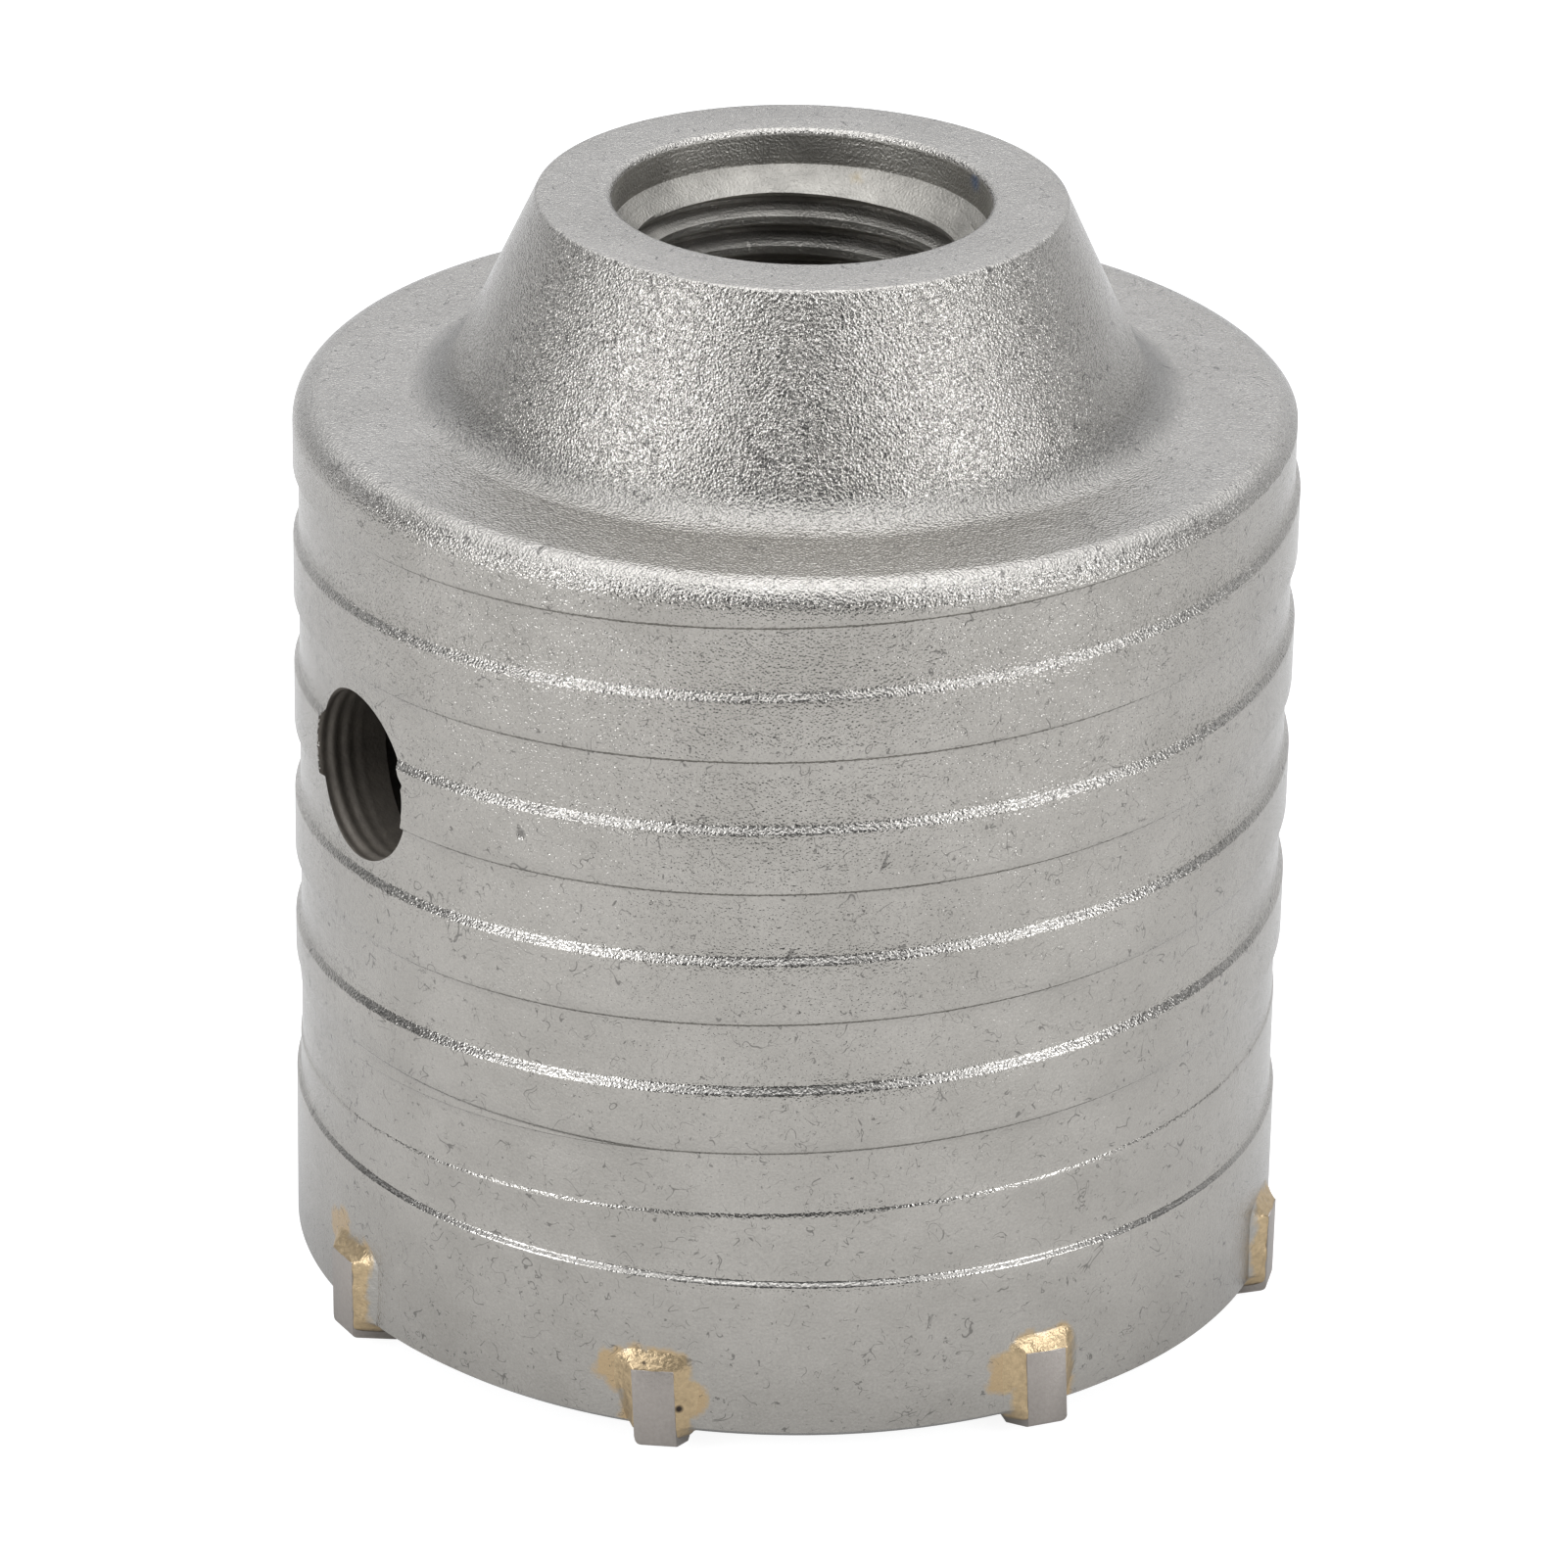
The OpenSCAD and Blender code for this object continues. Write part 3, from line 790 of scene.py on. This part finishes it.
def turned_steel(f, s):
    """Steel left as it was turned and tapped: brighter and smoother than the blasted steel, with
    faint rings from the tool, oil and painted shade in the roots of the thread and a few stains."""
    material, tree, mm = new_material("turned_steel")
    radius = from_axis(tree, mm)
    high = axis(tree, mm, "Z")
    cloud = noise(tree, mm, 0.5, 3.0, 0.6)
    tone = remap(tree, cloud, 0.3, 0.7, 0.8, 1.12)
    shade = scaled(tree, tuple(f.turned)[:3], tone)
    for az_deg, r, z, size, tint in BORE_STAINS:
        gap = gap_to(tree, mm, around(r, radians(az_deg), z))
        gap = calc(tree, "MULTIPLY_ADD", cloud, 3.0 * size, gap)
        mark = remap(tree, gap, 2.8 * size, 1.6 * size, high=0.8)
        shade = mix(tree, mark, shade, linear(tint))

    # Painted shade with oil in the thread: the flanks are darkened towards the oil colour, most
    # in the roots
    crest_mm = (s.thread_d / 2 - thread_height(s)) * PER_MM
    root = remap(tree, radius, crest_mm + 0.1, crest_mm + 0.8, high=0.35)
    below = remap(tree, high, s.lead_z * PER_MM, s.lead_z * PER_MM - 0.2)
    oil_and_root_shade = calc(tree, "MULTIPLY", root, below)
    shade = mix(tree, oil_and_root_shade, shade, tuple(f.oil_and_root_shade))

    # Rings from the turning tool, 0.3 mm apart, and a fine grain
    section = node(tree, "ShaderNodeCombineXYZ", [radius, 0.0, high])
    rings = noise(tree, section, 3.3, 1.0)
    grain = noise(tree, mm, 6.0, 1.0)
    height = calc(tree, "MULTIPLY_ADD", rings, 0.7, grain)
    metal(tree, shade, height, bump_mm=0.06, roughness=0.5)
    return material


def ground_carbide(f):
    """Cemented carbide, ground and lightly blasted: a darker, very even satin grey."""
    material, tree, mm = new_material("ground_carbide")
    grain = noise(tree, mm, 4.5, 2.0, 0.6)
    tone = remap(tree, grain, 0.3, 0.7, 0.93, 1.05)
    shade = scaled(tree, tuple(f.carbide)[:3], tone)
    metal(tree, shade, grain, bump_mm=0.04, roughness=0.42, strength=0.7)
    return material


def blasted_braze(f, s, t):
    """Brass brazing alloy, run out and then blasted: a pale gold with a bright coarse grain and
    dark pores, which thins out over the steel at its edges."""
    material, tree, mm = new_material("blasted_braze")
    grain = noise(tree, mm, 3.0, 2.0, 0.6)
    tone = remap(tree, grain, 0.3, 0.7, 0.86, 1.12)
    shade = scaled(tree, tuple(f.braze)[:3], tone)
    gold = halo(tree, mm, s, t)
    shade = mix(tree, gold, tuple(f.steel), shade)
    pores_and_shade = node(tree, "ShaderNodeTexVoronoi", {"Vector": mm, "Scale": 0.42}, out="Distance")
    pores_and_shade = remap(tree, pores_and_shade, 0.08, 0.04, high=0.8)
    i, side, off, up = PINHOLE
    place = around(s.wall_r * PER_MM + off, tip_azimuth(t, i) + side * MM / s.wall_r, up)
    pin = gap_to(tree, mm, place)
    pin = remap(tree, pin, 0.34, 0.16)
    pores_and_shade = calc(tree, "MAXIMUM", pores_and_shade, pin)
    # Painted shade with burnt flux: what hangs below the rim is darkened towards the pore colour
    high = axis(tree, mm, "Z")
    burnt_flux_and_shade = remap(tree, high, s.rim_z * PER_MM, s.rim_z * PER_MM - 0.4, high=0.75)
    pores_and_shade = calc(tree, "MAXIMUM", pores_and_shade, burnt_flux_and_shade)
    shade = mix(tree, pores_and_shade, shade, tuple(f.pore_and_shade))
    metal(tree, shade, grain, bump_mm=0.075, roughness=0.4)
    return material


class COREBIT_OT_cup(bpy.types.Operator):
    """Builds the steel cup with its groove, thread, side hole and tip slots"""
    bl_idname = "corebit.cup"
    bl_label = "Steel cup"

    def execute(self, context):
        s, t, f = sizes("corebit_cup"), sizes("corebit_tips"), sizes("corebit_finishes")
        cup = add_object("steel_cup", cup_mesh(s))
        over, half = 1.0 * MM, t.thickness / 2 + t.gap
        slots = [box_mesh("slot_cutter", (s.bore_r - over, -half, s.rim_z - over),
                          (s.wall_r + over, half, t.top + t.gap), tip_azimuth(t, i))
                 for i in range(TIP_COUNT)]
        combine(cup, slots + [ridged_cutter(s)], "DIFFERENCE")
        smooth(cup, sharp_above=42)
        finish(cup, blasted_steel(f, s, t), oily_steel(f), turned_steel(f, s))
        hole_slack, cup_slack, bore_slack = 0.02 * MM, 0.1 * MM, 0.05 * MM
        hole_depth, along = 2 * MM, 0.8
        out = Vector(around(1, s.hole_az, 0))
        for face in cup.data.polygons:
            c = face.center
            off = c - Vector((0, 0, s.hole_z))
            side = off - out * off.dot(out)
            in_hole = side.length < s.hole_r + hole_slack and abs(face.normal.dot(out)) < along
            in_hole = in_hole and c.dot(out) > s.bore_r - hole_depth
            in_cup = c.xy.length < s.bore_r + cup_slack and c.z < s.cavity_z + cup_slack
            in_bore = c.xy.length < s.counterbore_r + bore_slack and c.z > s.cavity_z
            face.material_index = 1 if in_hole or in_cup else 2 if in_bore else 0
        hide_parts(CUP)
        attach(cup, "root")
        return {"FINISHED"}


class COREBIT_OT_tips(bpy.types.Operator):
    """Builds the carbide tips from the solids, with their edges broken"""
    bl_idname = "corebit.tips"
    bl_label = "Carbide tips"

    def execute(self, context):
        s, t = sizes("corebit_cup"), sizes("corebit_tips")
        carbide = ground_carbide(sizes("corebit_finishes"))
        flat, broken, sharp = radians(2), 0.09 * MM, radians(35)
        for i in range(1, TIP_COUNT + 1):
            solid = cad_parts[f"{TIPS}{i}"]
            shape = bmesh.new()
            shape.from_mesh(solid.data)
            bmesh.ops.remove_doubles(shape, verts=shape.verts, dist=WELD)
            bmesh.ops.dissolve_limit(shape, angle_limit=flat, verts=shape.verts,
                                     edges=shape.edges)
            turn = Matrix.Rotation(tip_azimuth(t, i - 1) - pi / 2, 4, "Z")
            shape.transform(turn.inverted())
            for vert in shape.verts:
                vert.co = set_in_slot(s, t, i - 1, *vert.co)
            wear_edge(shape, s, t, i - 1)
            shape.transform(turn)
            data = bpy.data.meshes.new(f"tip_{i}")
            shape.to_mesh(data)
            shape.free()
            tip = add_object(f"ground_tip_{i}", data)
            edge = tip.modifiers.new("broken edges", "BEVEL")
            edge.width, edge.segments = broken, 2
            edge.limit_method, edge.angle_limit = "ANGLE", sharp
            bpy.context.view_layer.update()
            tip.data = bpy.data.meshes.new_from_object(
                tip.evaluated_get(bpy.context.evaluated_depsgraph_get()))
            tip.modifiers.clear()
            smooth(tip, sharp_above=40)
            finish(tip, carbide)
            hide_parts(f"{TIPS}{i}")
            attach(tip, "root")
        return {"FINISHED"}


class COREBIT_OT_braze(bpy.types.Operator):
    """Builds the braze runs between the tips and the cup"""
    bl_idname = "corebit.braze"
    bl_label = "Braze runs"

    def execute(self, context):
        s, t = sizes("corebit_cup"), sizes("corebit_tips")
        alloy = blasted_braze(sizes("corebit_finishes"), s, t)
        half, over = t.thickness / 2, 1.0 * MM
        for i in range(TIP_COUNT):
            run = add_object(f"braze_run_{i + 1}", braze_mesh(s, t, i))
            az = tip_azimuth(t, i)
            layer = box_mesh("slot_layer", (s.bore_r, -half - t.gap, s.rim_z),
                             (s.wall_r - over, half + t.gap, t.top + t.gap), az)
            combine(run, [layer], "UNION")
            room = box_mesh("tip_room", (s.bore_r - 2 * over, -half, -over),
                            (t.tip_r + over, half, t.top), pi / 2)
            for vert in room.vertices:
                vert.co.y = set_in_slot(s, t, i, *vert.co)[1]
            room.transform(Matrix.Rotation(az - pi / 2, 4, "Z"))
            combine(run, [room], "DIFFERENCE")
            smooth(run, sharp_above=45)
            finish(run, alloy)
            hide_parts(f"{BRAZES}{i + 1}")
            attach(run, "root")
        return {"FINISHED"}


# The camera was fitted to the ellipses of the shoulder, hub and rim
CAMERA_AT = Vector((0, -482.60, 251.85)) * MM
CAMERA_AIM = Vector((-0.43, 0, 31.92)) * MM
CAMERA_ROLL = radians(1.079)
CAMERA_LENS = 190.71

# Softboxes of the light tent, each as azimuth, height, inner and outer half width in degrees
# and strength
SOFTBOXES = ((-58, 22, 8, 20, 7.6), (57, 22, 8, 20, 7.2))

# Half width of the table in metres, and how much the paper glows
TABLE, GLOW = 3.0, 0.9


class COREBIT_OT_stage(bpy.types.Operator):
    """Sets up the table, the light and the camera"""
    bl_idname = "corebit.stage"
    bl_label = "Stage"

    def execute(self, context):
        scene = context.scene
        scene.view_settings.view_transform = "Standard"

        # White paper that glows a little to what looks at it, and still takes the shadow
        data = bpy.data.meshes.new("white_table")
        corners = [(-TABLE, -TABLE, 0), (TABLE, -TABLE, 0), (TABLE, TABLE, 0), (-TABLE, TABLE, 0)]
        data.from_pydata(corners, [], [(0, 1, 2, 3)])
        table = add_object("white_table", data)
        material, tree, mm = new_material("white_paper")
        radius = from_axis(tree, mm)
        # Painted shadow: metal and glass see the paper dark under the cup, which keeps the light
        # off it,
        lit = remap(tree, radius, 14.0, 46.0, curve="SMOOTHSTEP")
        # painted shade that makes it duller behind it
        far = remap(tree, axis(tree, mm, "Y"), -60.0, 80.0, 0.94, 0.6)
        lit = calc(tree, "MULTIPLY", lit, far)
        # and a painted contact shadow that makes it a little duller close to it
        near = remap(tree, radius, 40.0, 140.0, 0.73, 0.97)
        lit = calc(tree, "MULTIPLY", lit, near)
        glossy, through, direct = (
            node(tree, "ShaderNodeLightPath", out=kind)
            for kind in ("Is Glossy Ray", "Is Transmission Ray", "Is Camera Ray"))
        seen = calc(tree, "ADD", glossy, through)
        seen = calc(tree, "MULTIPLY_ADD", seen, lit, direct)
        glow = calc(tree, "MULTIPLY", seen, GLOW)
        light = node(tree, "ShaderNodeEmission", {"Strength": glow})
        paper = node(tree, "ShaderNodeBsdfDiffuse", {"Color": linear("#9A9A9A")})
        both = node(tree, "ShaderNodeAddShader", [paper, light])
        node(tree, "ShaderNodeOutputMaterial", {"Surface": both})
        data.materials.append(material)

        # Light tent: bright overhead, even behind, duller towards the camera and the sides
        world = bpy.data.worlds.new("light_tent")
        world.use_nodes = True
        scene.world = world
        tree = world.node_tree
        tree.nodes.clear()
        way = node(tree, "ShaderNodeTexCoord", out="Generated")
        depth = axis(tree, way, "Y")
        rise = axis(tree, way, "Z")
        # The back of the tent is a little brighter on the right
        behind = node(tree, "ShaderNodeVectorMath", [way, (0.1, 1.0, 0.0)], out="Value",
                      operation="DOT_PRODUCT")
        back = remap(tree, behind, 0.0, 0.8, 0.06, 0.97, curve="SMOOTHSTEP")
        slope = remap(tree, depth, -0.7, 0.2, 0.76, 1.1)
        side = remap(tree, rise, 0.45, 0.7, high=slope, curve="SMOOTHSTEP")
        roof = remap(tree, rise, 0.76, 0.98, side, 3.45, curve="SMOOTHSTEP")
        level = calc(tree, "ADD", back, roof)
        for az, up, inner, outer, strength in SOFTBOXES:
            a, e = radians(az), radians(up)
            towards = (cos(e) * sin(a), -cos(e) * cos(a), sin(e))
            near = node(tree, "ShaderNodeVectorMath", [way, towards], out="Value",
                        operation="DOT_PRODUCT")
            box = remap(tree, near, cos(radians(outer)), cos(radians(inner)), high=strength,
                        curve="SMOOTHSTEP")
            level = calc(tree, "ADD", level, box)
        sky = node(tree, "ShaderNodeBackground", {"Color": linear("#F8FAFF"), "Strength": level})
        node(tree, "ShaderNodeOutputWorld", {"Surface": sky})

        lens = bpy.data.cameras.new("camera")
        lens.lens, lens.sensor_width, lens.sensor_fit = CAMERA_LENS, 36.0, "HORIZONTAL"
        lens.clip_start, lens.clip_end = 0.01, 20.0
        camera = add_object("camera", lens)
        forward = (CAMERA_AIM - CAMERA_AT).normalized()
        right = forward.cross(Vector((0, 0, 1))).normalized()
        up = right.cross(forward)
        x_axis = cos(CAMERA_ROLL) * right + sin(CAMERA_ROLL) * up
        y_axis = -sin(CAMERA_ROLL) * right + cos(CAMERA_ROLL) * up
        turn = Matrix((x_axis, y_axis, -forward)).transposed().to_4x4()
        camera.matrix_world = Matrix.Translation(CAMERA_AT) @ turn
        scene.camera = camera
        return {"FINISHED"}


class COREBIT_PT_panel(bpy.types.Panel):
    """Lists the pieces of the core drill bit"""
    bl_idname = "COREBIT_PT_panel"
    bl_label = "Core drill bit"
    bl_space_type = "VIEW_3D"
    bl_region_type = "UI"
    bl_category = "Core bit"

    def draw(self, context):
        for operator in OPERATORS:
            self.layout.operator(operator.bl_idname)


OPERATORS = (COREBIT_OT_cup, COREBIT_OT_tips, COREBIT_OT_braze, COREBIT_OT_stage)
GROUPS = {"corebit_cup": CupSizes, "corebit_tips": TipSizes, "corebit_finishes": Finishes}


def register():
    for item in (*GROUPS.values(), *OPERATORS, COREBIT_PT_panel):
        bpy.utils.register_class(item)
    for name, group in GROUPS.items():
        setattr(bpy.types.Scene, name, bpy.props.PointerProperty(type=group))


def unregister():
    for name in GROUPS:
        delattr(bpy.types.Scene, name)
    for item in reversed((*GROUPS.values(), *OPERATORS, COREBIT_PT_panel)):
        bpy.utils.unregister_class(item)


def main():
    register()
    bpy.ops.corebit.cup()
    bpy.ops.corebit.tips()
    bpy.ops.corebit.braze()
    bpy.ops.corebit.stage()


if __name__ == "__main__":
    main()
